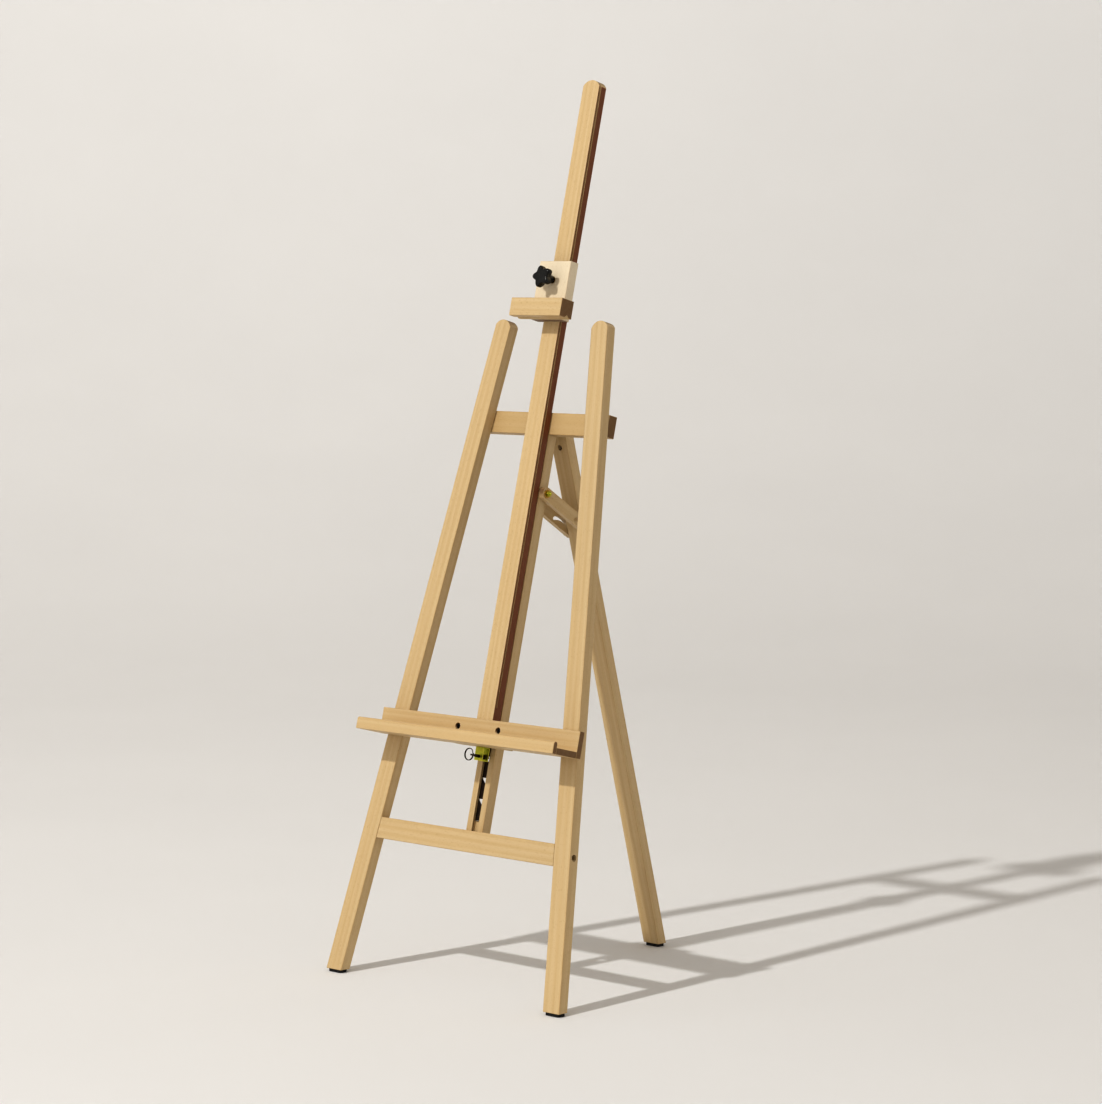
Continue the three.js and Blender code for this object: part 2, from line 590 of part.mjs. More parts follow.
function latch() {
  const { half, from, to, bottom, top, sheet } = BRACKET;
  const outline = polygon([
    [from, bottom], [from + sheet, bottom], [from + sheet, top - sheet], [to - sheet, top - sheet],
    [to - sheet, bottom], [to, bottom], [to, top], [from, top],
  ]);
  const rodRoom = turned(rod(PLUNGER.stem + 2 * GAP, from - PAST, to + PAST), 0, PIN_S);
  place(frame, 'latch_bracket', cut(slabX(outline, -half, half), rodRoom), zinc);

  const { stem, front, collar, collarFrom, collarTo, shoulder, pin } = PLUNGER;
  const profile = [
    [stem, front], [stem, collarFrom], [collar, collarFrom], [collar, collarTo],
    [stem, collarTo], [stem, shoulder], [pin, shoulder], [pin, RACK.from - PIN_SHORT],
  ];
  const thick = TAB.thick / 2;
  const tab = box(-TAB.half, TAB.half, TAB.front, TAB.back, PIN_S - thick, PIN_S + thick);
  const drill = turned(rod(TAB.eye, -TAB.thick, TAB.thick), 0, 0).rotateX(Math.PI / 2);
  const eye = drill.translate(0, RING_EYE_D, PIN_S);
  place(frame, 'latch_plunger', cutMore(join(turned(profile, 0, PIN_S), tab), eye), steel);

  const coilFrom = from + sheet + GAP;
  const corners = [[COIL.inner, coilFrom], [COIL.outer, coilFrom], [COIL.outer, COIL.to],
    [COIL.inner, COIL.to], [COIL.inner, coilFrom]];
  const sleeve = new THREE.LatheGeometry(corners.map(([r, y]) => new THREE.Vector2(r, y)), 12);
  place(frame, 'latch_spring', sleeve.translate(0, 0, PIN_S), steel);

  const ring = new THREE.TorusGeometry(RING_RADIUS, RING_WIRE, 6, 24).rotateY(Math.PI / 2);
  place(frame, 'latch_ring', ring.translate(0, RING_EYE_D - RING_RADIUS, PIN_S), steel);
}

// ---------- clamp ----------

function clampBlock() {
  const { half, from, to, bottom, top, channel } = BLOCK;
  const reach = MAST_HALF + SLIDE_EASE;
  const room = box(-reach, reach, channel, to + PAST, bottom - PAST, top + PAST);
  const body = cutMore(cut(box(-half, half, from, to, bottom, top), room), ...clampBores());
  const lips = SIDES.map(([, side]) => {
    const tongue = MAST_HALF - GROOVE.depth + SLIDE_EASE;
    const edge = [side * tongue, side * (MAST_HALF + PAST)].sort((a, b) => a - b);
    return box(...edge, GROOVE.from + GAP, to, bottom, top);
  });
  place(frame, 'clamp_block', lips.reduce((sum, lip) => sum.add(solid(lip)), body), beech);
}

function clampBores() {
  return [
    turned(rod(INSERT.radius + GAP, BLOCK.from - PAST, INSERT.room), 0, KNOB_S, 16),
    turned(rod(CLAMP_SCREW.radius + GAP, -THROUGH, BLOCK.to), 0, KNOB_S, 16),
    turned(rod(CLAMP_PAD.radius + 2 * GAP, CLAMP_PAD.room, BLOCK.to), 0, KNOB_S, 16),
  ];
}

// The bar that holds the top edge of the canvas, with a groove along its underside.
function clampBar() {
  const { half, from, bottom, top } = BAR;
  const back = BLOCK.from - GAP;
  const [near, middle, far] = BAR_GROOVE;
  const outline = polygon([
    [from, bottom], [near, bottom], [middle, bottom + BAR_GROOVE_DEPTH], [far, bottom],
    [back, bottom], [back, top], [from, top],
  ]);
  place(frame, 'clamp_bar', slabX(outline, -half, half), beech);
}

// Five rounded lobes on a round hub, one of them pointing left.
function starOutline() {
  const points = [];
  for (let i = 0; i < KNOB.points; i += 1) {
    const angle = (2 * Math.PI * i) / KNOB.points;
    const radius = KNOB.mean + KNOB.lobe * Math.cos(KNOB.lobes * (angle - Math.PI));
    points.push([radius * Math.cos(angle), radius * Math.sin(angle)]);
  }
  return polygon(points);
}

function clampKnob() {
  const screwHole = (from) => turned(rod(CLAMP_SCREW.radius + GAP, from, 0), 0, KNOB_S, 12);
  const head = slabY(starOutline(), KNOB.front, KNOB.back).translate(0, 0, KNOB_S);
  const hub = turned(HUB, 0, KNOB_S, 16);
  place(frame, 'clamp_knob', cutMore(join(head, hub), screwHole(KNOB.blind)), blackPlastic);
  const { radius, from, to } = CLAMP_SCREW;
  place(frame, 'clamp_screw', turned(rod(radius, from, to), 0, KNOB_S, 12), steel);
  const insert = turned(rod(INSERT.radius, BLOCK.from + INSERT.sunk, INSERT.to), 0, KNOB_S, 16);
  place(frame, 'clamp_insert', cut(insert, screwHole(-THROUGH)), brass);
  const pad = rod(CLAMP_PAD.radius, CLAMP_PAD.from, CLAMP_PAD.to);
  place(frame, 'clamp_pad', turned(pad, 0, KNOB_S, 16), nylon);
}

// ---------- feet ----------

function footPad(name, x, y) {
  const half = PAD_LENGTH / 2;
  const deep = PAD_WIDTH / 2;
  const corner = PAD_CORNER;
  const shape = new THREE.Shape();
  shape.absarc(half - corner, deep - corner, corner, 0, Math.PI / 2, false);
  shape.absarc(corner - half, deep - corner, corner, Math.PI / 2, Math.PI, false);
  shape.absarc(corner - half, corner - deep, corner, Math.PI, 1.5 * Math.PI, false);
  shape.absarc(half - corner, corner - deep, corner, 1.5 * Math.PI, 2 * Math.PI, false);
  shape.closePath();
  place(easel, name, extrude(shape, PAD_HEIGHT - GAP, 3), rubber).position.set(x, y, 0);
}

// ---------- put together ----------

const drop = (hingeZ + rearFace * Math.sin(REAR_SPREAD)) / Math.cos(REAR_SPREAD);
const rearToe = hingeY + rearFace * Math.cos(REAR_SPREAD) + drop * Math.sin(REAR_SPREAD);
const rearHeel = rearToe + REAR_DEPTH / Math.cos(REAR_SPREAD);
const CENTRE_Y = rearHeel / 2;

frame.rotation.x = -LEAN;
frame.position.set(0, -CENTRE_Y, PAD_HEIGHT);
rear.rotation.x = REAR_SPREAD;
rear.position.set(0, hingeY - CENTRE_Y, hingeZ + PAD_HEIGHT);
easel.add(frame, rear);

for (const [word, side] of SIDES) {
  frontLeg(`leg_${word}`, side);
  postRail(`post_rail_${word}`, side);
  footPad(`foot_pad_${word}`, side * FOOT_HALF, LEG_DEPTH / 2 / Math.cos(LEAN) - CENTRE_Y);
}
footPad('foot_pad_rear', 0, (rearToe + rearHeel) / 2 - CENTRE_Y);
lowerCrossbar();
upperCrossbar();
postBlocks();
rackStrip();
frameFasteners();
hinge();
rearLeg();
spreaderArms();
mast();
guideKey('guide_key_lower', ...KEY.lower);
guideKey('guide_key_upper', ...KEY.upper);
trayCarriage();
trayBoards();
trayBolts();
latch();
clampBlock();
clampBar();
clampKnob();

export default easel;
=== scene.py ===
import json
import math
import random

import bmesh
import bpy
from mathutils import Matrix, Vector


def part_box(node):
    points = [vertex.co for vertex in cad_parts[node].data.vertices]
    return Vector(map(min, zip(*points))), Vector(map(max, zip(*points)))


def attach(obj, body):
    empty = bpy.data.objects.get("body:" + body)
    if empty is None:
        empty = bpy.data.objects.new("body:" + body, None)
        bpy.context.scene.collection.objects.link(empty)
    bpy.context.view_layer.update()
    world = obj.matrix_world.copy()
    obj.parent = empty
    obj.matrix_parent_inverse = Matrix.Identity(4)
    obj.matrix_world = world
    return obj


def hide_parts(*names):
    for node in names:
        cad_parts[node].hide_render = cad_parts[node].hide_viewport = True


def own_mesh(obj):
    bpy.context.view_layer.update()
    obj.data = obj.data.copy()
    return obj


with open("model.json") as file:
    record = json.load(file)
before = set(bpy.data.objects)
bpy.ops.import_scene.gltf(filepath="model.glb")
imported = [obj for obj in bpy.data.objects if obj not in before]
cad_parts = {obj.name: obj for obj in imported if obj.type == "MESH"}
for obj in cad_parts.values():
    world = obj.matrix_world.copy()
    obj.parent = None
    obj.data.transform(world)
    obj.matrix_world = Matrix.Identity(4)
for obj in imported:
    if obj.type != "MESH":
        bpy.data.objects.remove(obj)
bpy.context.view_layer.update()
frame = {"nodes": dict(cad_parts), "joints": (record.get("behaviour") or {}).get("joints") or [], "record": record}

# ---------- the leaning frame of the easel ----------
# x to the right, d depth behind the front faces of the legs, s distance up the slope, in metres.

JOINTS = {joint["name"]: joint for joint in frame["joints"]}
RIGHT = Vector((1, 0, 0))
UP = Vector(JOINTS["mast_slide"]["axis"]).normalized()
BACK = UP.cross(RIGHT).normalized()
LEAN = math.atan2(UP.y, UP.z)
REAR_TILT = math.radians(15.1)
REAR_DOWN = Vector((0, math.sin(REAR_TILT), -math.cos(REAR_TILT)))

BODY_OF = {}
for body_name, members in frame["record"]["behaviour"]["bodies"].items():
    for member in members:
        BODY_OF[member] = body_name


def axes(grain, across):
    """A turned frame with Z along the grain and X across it."""
    z = grain.normalized()
    x = (across - across.dot(z) * z).normalized()
    y = z.cross(x)
    return Matrix((x, y, z)).transposed().to_4x4()


def centred(node, turn):
    """The same frame with its origin in the middle of a node, and the node's half sizes in it."""
    back = turn.inverted()
    points = [back @ v.co for v in frame["nodes"][node].data.vertices]
    low = Vector([min(p[i] for p in points) for i in range(3)])
    high = Vector([max(p[i] for p in points) for i in range(3)])
    middle = turn @ ((low + high) / 2)
    return Matrix.Translation(middle) @ turn, (high - low) / 2


# ---------- node trees ----------

class Tree:
    """A material's node tree, with short calls for the nodes that the looks below use."""

    def __init__(self, name):
        self.material = bpy.data.materials.new(name)
        self.material.use_nodes = True
        self.nodes = self.material.node_tree.nodes
        self.links = self.material.node_tree.links
        self.shader = self.nodes["Principled BSDF"]

    def put(self, node, socket, value):
        if value is None:
            return
        if isinstance(value, bpy.types.NodeSocket):
            self.links.new(value, node.inputs[socket])
        else:
            node.inputs[socket].default_value = value

    def place(self, scale, shift=(0, 0, 0)):
        coordinates = self.nodes.new("ShaderNodeTexCoord")
        mapping = self.nodes.new("ShaderNodeMapping")
        self.links.new(coordinates.outputs["Object"], mapping.inputs["Vector"])
        mapping.inputs["Location"].default_value = shift
        mapping.inputs["Scale"].default_value = scale
        return mapping.outputs["Vector"]

    def noise(self, vector, detail=3.0, rough=0.5):
        node = self.nodes.new("ShaderNodeTexNoise")
        self.put(node, "Vector", vector)
        self.put(node, "Scale", 1.0)
        self.put(node, "Detail", detail)
        self.put(node, "Roughness", rough)
        return node.outputs["Fac"]

    def ramp(self, value, stops):
        node = self.nodes.new("ShaderNodeValToRGB")
        self.put(node, "Fac", value)
        elements = node.color_ramp.elements
        while len(elements) < len(stops):
            elements.new(0.5)
        for element, (at, shade) in zip(elements, stops):
            element.position = at
            element.color = (*shade, 1) if hasattr(shade, "__len__") else (shade, shade, shade, 1)
        return node.outputs["Color"]

    def math(self, kind, a, b=None, c=None):
        node = self.nodes.new("ShaderNodeMath")
        node.operation = kind
        for index, value in enumerate((a, b, c)):
            self.put(node, index, value)
        return node.outputs["Value"]

    def mix(self, share, a, b, kind="MIX"):
        node = self.nodes.new("ShaderNodeMix")
        node.data_type = "RGBA"
        node.blend_type = kind
        self.put(node, "Factor", share)
        self.put(node, "A", a if isinstance(a, bpy.types.NodeSocket) else (*a, 1))
        self.put(node, "B", b if isinstance(b, bpy.types.NodeSocket) else (*b, 1))
        return next(o for o in node.outputs if o.type == "RGBA")

    def attribute(self, name):
        node = self.nodes.new("ShaderNodeAttribute")
        node.attribute_name = name
        return node.outputs["Fac"]

    def bump(self, height, strength, distance):
        node = self.nodes.new("ShaderNodeBump")
        self.put(node, "Height", height)
        self.put(node, "Strength", strength)
        self.put(node, "Distance", distance)
        self.links.new(node.outputs["Normal"], self.shader.inputs["Normal"])

    def look(self, color, roughness, **fixed):
        self.put(self.shader, "Base Color", color)
        self.put(self.shader, "Roughness", roughness)
        for socket, value in fixed.items():
            self.shader.inputs[socket.replace("_", " ")].default_value = value
        return self.material


def linear(r, g, b):
    """An 8-bit screen colour as the shader takes it."""
    return tuple((c / 255 / 12.92) if c / 255 <= 0.04045 else ((c / 255 + 0.055) / 1.055) ** 2.4
                 for c in (r, g, b))


# ---------- materials ----------

PALE = linear(204, 182, 144)
GOLD = linear(192, 164, 118)
DEEP = linear(166, 132, 84)
WHITE_WOOD = linear(226, 216, 196)
FLECK = linear(148, 110, 68)
END = linear(96, 64, 36)
# the dark red-brown given to the mast's side faces
DARK_SIDE_BROWN = linear(112, 56, 24)


def beech(name, seed, tone=1.0, white=0.0, golden=0.0):
    """Lacquered beech with its grain along local Z. A solid pattern, so end grain shows the rings."""
    draw = random.Random(seed)
    shift = tuple(draw.uniform(-4, 4) for _ in range(3))
    tree = Tree(name)
    # broad soft growth bands round a pith well outside the board, bent by slow noise
    warp = tree.noise(tree.place((9, 9, 0.9), shift), detail=2.0)
    rings = tree.nodes.new("ShaderNodeTexWave")
    rings.wave_type = "RINGS"
    rings.rings_direction = "Z"
    pith = (draw.uniform(0.04, 0.12), draw.uniform(0.03, 0.09), 0)
    tree.put(rings, "Vector", tree.place((1, 1, 0.02), pith))
    tree.put(rings, "Scale", draw.uniform(20, 28))
    tree.put(rings, "Distortion", 4.5)
    tree.put(rings, "Detail", 2.0)
    tree.put(rings, "Detail Scale", 0.8)
    streak = tree.noise(tree.place((210, 210, 4), shift), detail=4.0, rough=0.55)
    board = tree.noise(tree.place((7, 7, 1.3), shift), detail=2.0)
    base = tree.mix(tree.ramp(rings.outputs["Fac"], [(0.1, 0.0), (1.0, 0.34)]), PALE, GOLD)
    base = tree.mix(tree.ramp(streak, [(0.42, 0.0), (0.80, 0.26)]), base, DEEP)
    base = tree.mix(tree.ramp(warp, [(0.35, 0.0), (0.75, 0.35)]), base, GOLD)
    if white:
        base = tree.mix(white, base, WHITE_WOOD)
    if golden:
        base = tree.mix(golden, base, GOLD)
    tint = tree.ramp(board, [(0.25, 0.95 * tone), (0.75, 1.03 * tone)])
    base = tree.mix(1.0, base, tint, "MULTIPLY")
    # short ray flecks and fine open pores, both along the grain
    fleck = tree.noise(tree.place((1300, 1300, 190), shift), detail=1.0)
    base = tree.mix(tree.ramp(fleck, [(0.64, 0.0), (0.74, 0.42)]), base, FLECK)
    pores = tree.noise(tree.place((2600, 2600, 90), shift), detail=2.0)
    # end grain drinks the lacquer, and eased edges are rubbed darker in places
    base = tree.mix(tree.math("MULTIPLY", tree.attribute("end_grain"), 0.80), base, END)
    rub = tree.ramp(tree.noise(tree.place((90, 90, 30), shift)), [(0.35, 0.0), (0.7, 0.4)])
    base = tree.mix(tree.math("MULTIPLY", tree.attribute("edge"), rub), base, DEEP)
    # the mast's side faces take a dark red-brown colour
    base = tree.mix(tree.attribute("stain"), base, DARK_SIDE_BROWN)
    rough = tree.math("MULTIPLY_ADD", streak, 0.20, 0.40)
    rough = tree.math("MULTIPLY_ADD", tree.attribute("end_grain"), 0.18, rough)
    height = tree.math("MULTIPLY_ADD", pores, 0.6, streak)
    tree.bump(height, 0.16, 0.0003)
    return tree.look(base, rough, Specular_IOR_Level=0.40)


def metal(name, color, shade, roughness, seed, metallic=1.0):
    """Metal with cloudy colour, fine scratches and brighter rubbed edges."""
    draw = random.Random(seed)
    shift = tuple(draw.uniform(-4, 4) for _ in range(3))
    tree = Tree(name)
    cloud = tree.noise(tree.place((160, 160, 160), shift), detail=4.0, rough=0.6)
    marks = tree.noise(tree.place((2400, 2400, 2400), shift), detail=3.0)
    base = tree.mix(tree.ramp(cloud, [(0.35, 0.0), (0.7, 1.0)]), color, shade)
    bright = tuple(min(1.0, 1.5 * c + 0.04) for c in color)
    base = tree.mix(tree.math("MULTIPLY", tree.attribute("edge"), cloud), base, bright)
    rough = tree.math("MULTIPLY_ADD", cloud, 0.22, roughness - 0.11)
    tree.bump(marks, 0.12, 0.0001)
    return tree.look(base, rough, Metallic=metallic)


def plastic(name, color, roughness, seed, grain=1400):
    """Moulded plastic or rubber with a fine grain, a little dust and rubbed edges."""
    draw = random.Random(seed)
    shift = tuple(draw.uniform(-4, 4) for _ in range(3))
    tree = Tree(name)
    dust = tree.noise(tree.place((70, 70, 70), shift), detail=4.0)
    fine = tree.noise(tree.place((grain, grain, grain), shift), detail=2.0)
    lighter = tuple(min(1.0, 2.0 * c + 0.004) for c in color)
    base = tree.mix(tree.ramp(dust, [(0.42, 0.0), (0.8, 0.7)]), color, lighter)
    base = tree.mix(tree.math("MULTIPLY", tree.attribute("edge"), dust), base, lighter)
    rough = tree.math("MULTIPLY_ADD", fine, 0.24, roughness - 0.12)
    tree.bump(fine, 0.25, 0.00015)
    return tree.look(base, rough)


ZINC = metal("zinc", linear(206, 196, 84), linear(172, 186, 74), 0.36, 11)
STEEL = metal("steel", linear(78, 70, 58), linear(44, 38, 30), 0.34, 12)
DARK_STEEL = metal("dark_steel", linear(34, 29, 24), linear(16, 13, 11), 0.24, 18, metallic=0.5)
BLACK_STEEL = metal("black_steel", linear(40, 31, 25), linear(66, 50, 38), 0.45, 13, metallic=0.7)
BRASS = metal("brass", linear(196, 158, 88), linear(160, 122, 62), 0.32, 14)
BLACK_PLASTIC = plastic("black_plastic", linear(6, 6, 5), 0.24, 15)
NYLON = plastic("nylon", linear(52, 50, 47), 0.5, 16)
RUBBER = plastic("rubber", linear(26, 25, 24), 0.8, 17, grain=900)


# ---------- mesh helpers ----------

SMOOTH = 35                         # degrees: faces that meet at less than this shade as one
WELD = 1e-6                         # corners closer than this are one corner
FLAT = math.radians(0.6)            # faces that meet at less than this are one face
OVERRUN = 0.002                     # how far a cutting tool runs past what it cuts


def finished(bm, name, matrix, material, smooth=SMOOTH):
    """The mesh as a placed object, smooth except across sharp edges."""
    bmesh.ops.recalc_face_normals(bm, faces=bm.faces)
    mesh = bpy.data.meshes.new(name)
    bm.to_mesh(mesh)
    bm.free()
    for polygon in mesh.polygons:
        polygon.use_smooth = True
    mesh.set_sharp_from_angle(angle=math.radians(smooth))
    mesh.materials.append(material)
    obj = bpy.data.objects.new(name, mesh)
    bpy.context.scene.collection.objects.link(obj)
    obj.matrix_world = matrix
    weighted = obj.modifiers.new("even_normals", "WEIGHTED_NORMAL")
    weighted.keep_sharp = True
    return obj


def stands_for(piece, node):
    """The piece takes the place of a CAD node, on the same body."""
    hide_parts(node)
    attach(piece, BODY_OF[node])
    return piece


def eased(node, grain, across, material, radius, shortest=0.004, segments=3, stained=None, turn=32):
    """A CAD node with its long edges eased, where the faces meet at more than turn degrees."""
    matrix, half = centred(node, axes(grain, across))
    back = matrix.inverted()
    bm = bmesh.new()
    bm.from_mesh(frame["nodes"][node].data)
    edge = bm.faces.layers.float.new("edge")
    end = bm.faces.layers.float.new("end_grain")
    stain = bm.faces.layers.float.new("stain")
    bmesh.ops.transform(bm, matrix=back, verts=bm.verts)
    bmesh.ops.remove_doubles(bm, verts=bm.verts, dist=WELD)
    bmesh.ops.dissolve_limit(bm, angle_limit=FLAT, verts=bm.verts, edges=bm.edges)
    chosen = [e for e in bm.edges if len(e.link_faces) == 2 and e.calc_length() > shortest
              and e.is_convex and e.calc_face_angle() > math.radians(turn)]
    made = bmesh.ops.bevel(bm, geom=chosen, offset=radius, offset_type="OFFSET", segments=segments,
                           profile=0.5, affect="EDGES", clamp_overlap=True)
    for face in made["faces"]:
        face[edge] = 1.0
    for face in bm.faces:
        face.normal_update()
        face[end] = max(0.0, (abs(face.normal.z) - 0.55) / 0.45)
        if stained is not None:
            face[stain] = stained(face, half)
    piece = finished(bm, node + "_look", matrix, material)
    return stands_for(piece, node)


def lathe(bm, profile, sides=40, start=0.0):
    """A closed turned piece about Z. profile lists (radius, z) and starts and ends on the axis."""
    rings = []
    for radius, z in profile:
        if radius < 1e-7:
            rings.append([bm.verts.new((0, 0, z))])
        else:
            rings.append([bm.verts.new((radius * math.cos(start + 2 * math.pi * i / sides),
                                        radius * math.sin(start + 2 * math.pi * i / sides), z))
                          for i in range(sides)])
    for low, high in zip(rings, rings[1:]):
        for i in range(sides):
            j = (i + 1) % sides
            corners = [low[i % len(low)], low[j % len(low)], high[j % len(high)], high[i % len(high)]]
            unique = []
            for corner in corners:
                if corner not in unique:
                    unique.append(corner)
            if len(unique) > 2:
                bm.faces.new(unique)


def cylinder_frame(node, axis):
    """Frame with Z along a fastener, its half length, and its greatest radius."""
    across = RIGHT if abs(axis.dot(RIGHT)) < 0.9 else Vector((0, 0, 1))
    matrix, half = centred(node, axes(axis, across))
    return matrix, half.z, max(half.x, half.y)


def subtract(piece, cutter):
    """Cuts one mesh object out of another and removes the cutter."""
    modifier = piece.modifiers.new("cut", "BOOLEAN")
    modifier.object = cutter
    modifier.solver = "EXACT"
    piece.modifiers.move(len(piece.modifiers) - 1, 0)
    bpy.context.view_layer.update()
    graph = bpy.context.evaluated_depsgraph_get()
    piece.modifiers["even_normals"].show_viewport = False
    graph.update()
    mesh = bpy.data.meshes.new_from_object(piece.evaluated_get(graph), depsgraph=graph)
    piece.modifiers.remove(modifier)
    piece.modifiers["even_normals"].show_viewport = True
    piece.data = mesh
    mesh.set_sharp_from_angle(angle=math.radians(SMOOTH))
    bpy.data.objects.remove(cutter)


def cutting_tool(bm, name, matrix):
    """A closed mesh to cut with, placed but with no look of its own."""
    mesh = bpy.data.meshes.new(name)
    bmesh.ops.recalc_face_normals(bm, faces=bm.faces)
    bm.to_mesh(mesh)
    bm.free()
    obj = bpy.data.objects.new(name, mesh)
    bpy.context.scene.collection.objects.link(obj)
    obj.matrix_world = matrix
    return obj


def bolt(node, axis, head_radius, head_height, shank_radius, material, recess="hex", dome=0.35):
    """A headed fastener. axis points out of the head. The head is domed, with a driver recess."""
    matrix, top, _ = cylinder_frame(node, axis)
    under = top - head_height
    rim = 0.12 * head_height
    crown = dome * head_height
    bm = bmesh.new()
    profile = [(0, -top), (shank_radius * 0.8, -top), (shank_radius, -top + shank_radius * 0.4),
               (shank_radius, under), (head_radius - rim, under), (head_radius, under + rim)]
    steps = 6
    for i in range(steps + 1):
        turn = 0.5 * math.pi * i / steps
        profile.append((head_radius * math.cos(turn) ** 0.8, top - crown + crown * math.sin(turn)))
    profile[-1] = (0, top)
    lathe(bm, profile)
    piece = finished(bm, node + "_look", matrix, material)
    cutter = bmesh.new()
    deep = 0.55 * head_height
    if recess == "hex":
        size = 0.46 * head_radius
        lathe(cutter, [(0, top - deep), (size, top - deep), (size, top + OVERRUN), (0, top + OVERRUN)], 6)
    else:
        long = 0.58 * head_radius
        wide = 0.13 * head_radius
        for a, b in ((long, wide), (wide, long)):
            made = bmesh.ops.create_cube(cutter, size=2)
            for v in made["verts"]:
                v.co = Vector((v.co.x * a, v.co.y * b, top - deep + (v.co.z + 1) * OVERRUN))
    subtract(piece, cutting_tool(cutter, "recess_tool", matrix))
    return stands_for(piece, node)


def hexagon_nut(node, axis, hole, material):
    """A hexagon nut with chamfered corners and an open bore."""
    matrix, half, radius = cylinder_frame(node, axis)
    bm = bmesh.new()
    chamfer = 0.12 * radius
    lathe(bm, [(0, -half), (radius - chamfer, -half), (radius, -half + chamfer * 0.6),
               (radius, half - chamfer * 0.6), (radius - chamfer, half), (0, half)], 6, math.pi / 6)
    piece = finished(bm, node + "_look", matrix, material, smooth=20)
    tool = bmesh.new()
    low = -half - OVERRUN
    high = half + OVERRUN
    lathe(tool, [(0, low), (hole, low), (hole, high), (0, high)], 32)
    subtract(piece, cutting_tool(tool, "bore_tool", matrix))
    return stands_for(piece, node)


def swept(bm, points, radius, sides=12):
    """A round wire along a list of points, with closed ends."""
    rings = []
    side = None
    for i, point in enumerate(points):
        ahead = points[min(i + 1, len(points) - 1)] - points[max(i - 1, 0)]
        ahead.normalize()
        if side is None:
            side = ahead.orthogonal().normalized()
        side = (side - side.dot(ahead) * ahead).normalized()
        other = ahead.cross(side)
        rings.append([bm.verts.new(point + radius * (math.cos(2 * math.pi * k / sides) * side
                                                     + math.sin(2 * math.pi * k / sides) * other))
                      for k in range(sides)])
    for low, high in zip(rings, rings[1:]):
        for k in range(sides):
            j = (k + 1) % sides
            bm.faces.new((low[k], low[j], high[j], high[k]))
    bm.faces.new(list(reversed(rings[0])))
    bm.faces.new(rings[-1])


# ---------- camera and light ----------

def camera():
    """The viewing angle: to the right of the easel's front, looking slightly down, with a long lens."""
    azimuth = math.radians(42.705)
    down = math.radians(4.717)
    eye = Vector((4.3165, -4.6816, 1.3384))
    forward = Vector((-math.sin(azimuth) * math.cos(down), math.cos(azimuth) * math.cos(down),
                      -math.sin(down)))
    data = bpy.data.cameras.new("camera")
    data.sensor_fit = "HORIZONTAL"
    data.sensor_width = 36
    data.lens = 108.36
    data.clip_end = 100
    obj = bpy.data.objects.new("camera", data)
    obj.location = eye
    obj.rotation_euler = forward.to_track_quat("-Z", "Y").to_euler()
    bpy.context.scene.collection.objects.link(obj)
    bpy.context.scene.camera = obj


LAMP_AT = (-0.2, -4.0, 4.5)
LAMP_POWER = 16.5
LAMP_RADIUS = 0.09                  # small enough to leave defined shadows
AMBIENT = 0.34


def lights():
    """One lamp high in front of the easel, and warm light from all round."""
    key = bpy.data.lights.new("key", "POINT")
    key.energy = LAMP_POWER
    key.color = (1.0, 0.98, 0.94)
    key.shadow_soft_size = LAMP_RADIUS
    # the same light near and far, so that the backdrop is lit as evenly as the easel
    key.use_nodes = True
    nodes = key.node_tree.nodes
    falloff = nodes.new("ShaderNodeLightFalloff")
    falloff.inputs["Strength"].default_value = 1.0
    key.node_tree.links.new(falloff.outputs["Constant"], nodes["Emission"].inputs["Strength"])
    lamp = bpy.data.objects.new("key", key)
    lamp.location = LAMP_AT
    lamp.visible_camera = False
    bpy.context.scene.collection.objects.link(lamp)
    world = bpy.data.worlds.new("studio")
    world.use_nodes = True
    background = world.node_tree.nodes["Background"]
    background.inputs["Color"].default_value = (1.0, 0.86, 0.68, 1)
    background.inputs["Strength"].default_value = AMBIENT
    bpy.context.scene.world = world
    view = bpy.context.scene.view_settings
    view.view_transform = "Standard"
    view.look = "High Contrast"


def studio_floor():
    """A pale floor that curves up into the backdrop, all round."""
    tree = Tree("floor_paint_and_shade")
    soft = tree.noise(tree.place((1.2, 1.2, 1.2)), detail=2.0)
    tint = tree.mix(soft, linear(222, 223, 225), linear(226, 227, 229))
    # painted shade, standing in for light that falls off: the floor and backdrop colour darkens slowly towards the
    # right and back of the studio
    across = tree.nodes.new("ShaderNodeSeparateXYZ")
    tree.links.new(tree.place((0.05, 0.05, 0.05), (0.5, 0.5, 0.5)), across.inputs["Vector"])
    rightward = tree.math("MULTIPLY", across.outputs["X"], 0.6)
    painted_falloff = tree.math("MULTIPLY_ADD", across.outputs["Y"], 0.6, rightward)
    tint = tree.mix(1.0, tint, tree.ramp(painted_falloff, [(0.57, 1.0), (0.76, 0.88)]), "MULTIPLY")
    tree.look(tint, 0.9, Specular_IOR_Level=0.1)
    bm = bmesh.new()
    flat = 4.5
    curve = 9.0
    wall = 14.0
    profile = [(0, 0), (flat, 0)]
    steps = 16
    for i in range(1, steps + 1):
        turn = 0.5 * math.pi * i / steps
        profile.append((flat + curve * math.sin(turn), curve - curve * math.cos(turn)))
    profile.append((flat + curve, wall))
    sides = 96
    rings = []
    for radius, z in profile:
        count = 1 if radius == 0 else sides
        rings.append([bm.verts.new((radius * math.cos(2 * math.pi * i / sides),
                                    radius * math.sin(2 * math.pi * i / sides), z))
                      for i in range(count)])
    for low, high in zip(rings, rings[1:]):
        for i in range(sides):
            j = (i + 1) % sides
            if len(low) == 1:
                bm.faces.new((low[0], high[i], high[j]))
            else:
                bm.faces.new((low[i], high[i], high[j], low[j]))
    mesh = bpy.data.meshes.new("studio_floor")
    bm.to_mesh(mesh)
    bm.free()
    mesh.materials.append(tree.material)
    for polygon in mesh.polygons:
        polygon.use_smooth = True
    obj = bpy.data.objects.new("studio_floor", mesh)
    bpy.context.scene.collection.objects.link(obj)


# ---------- timber ----------

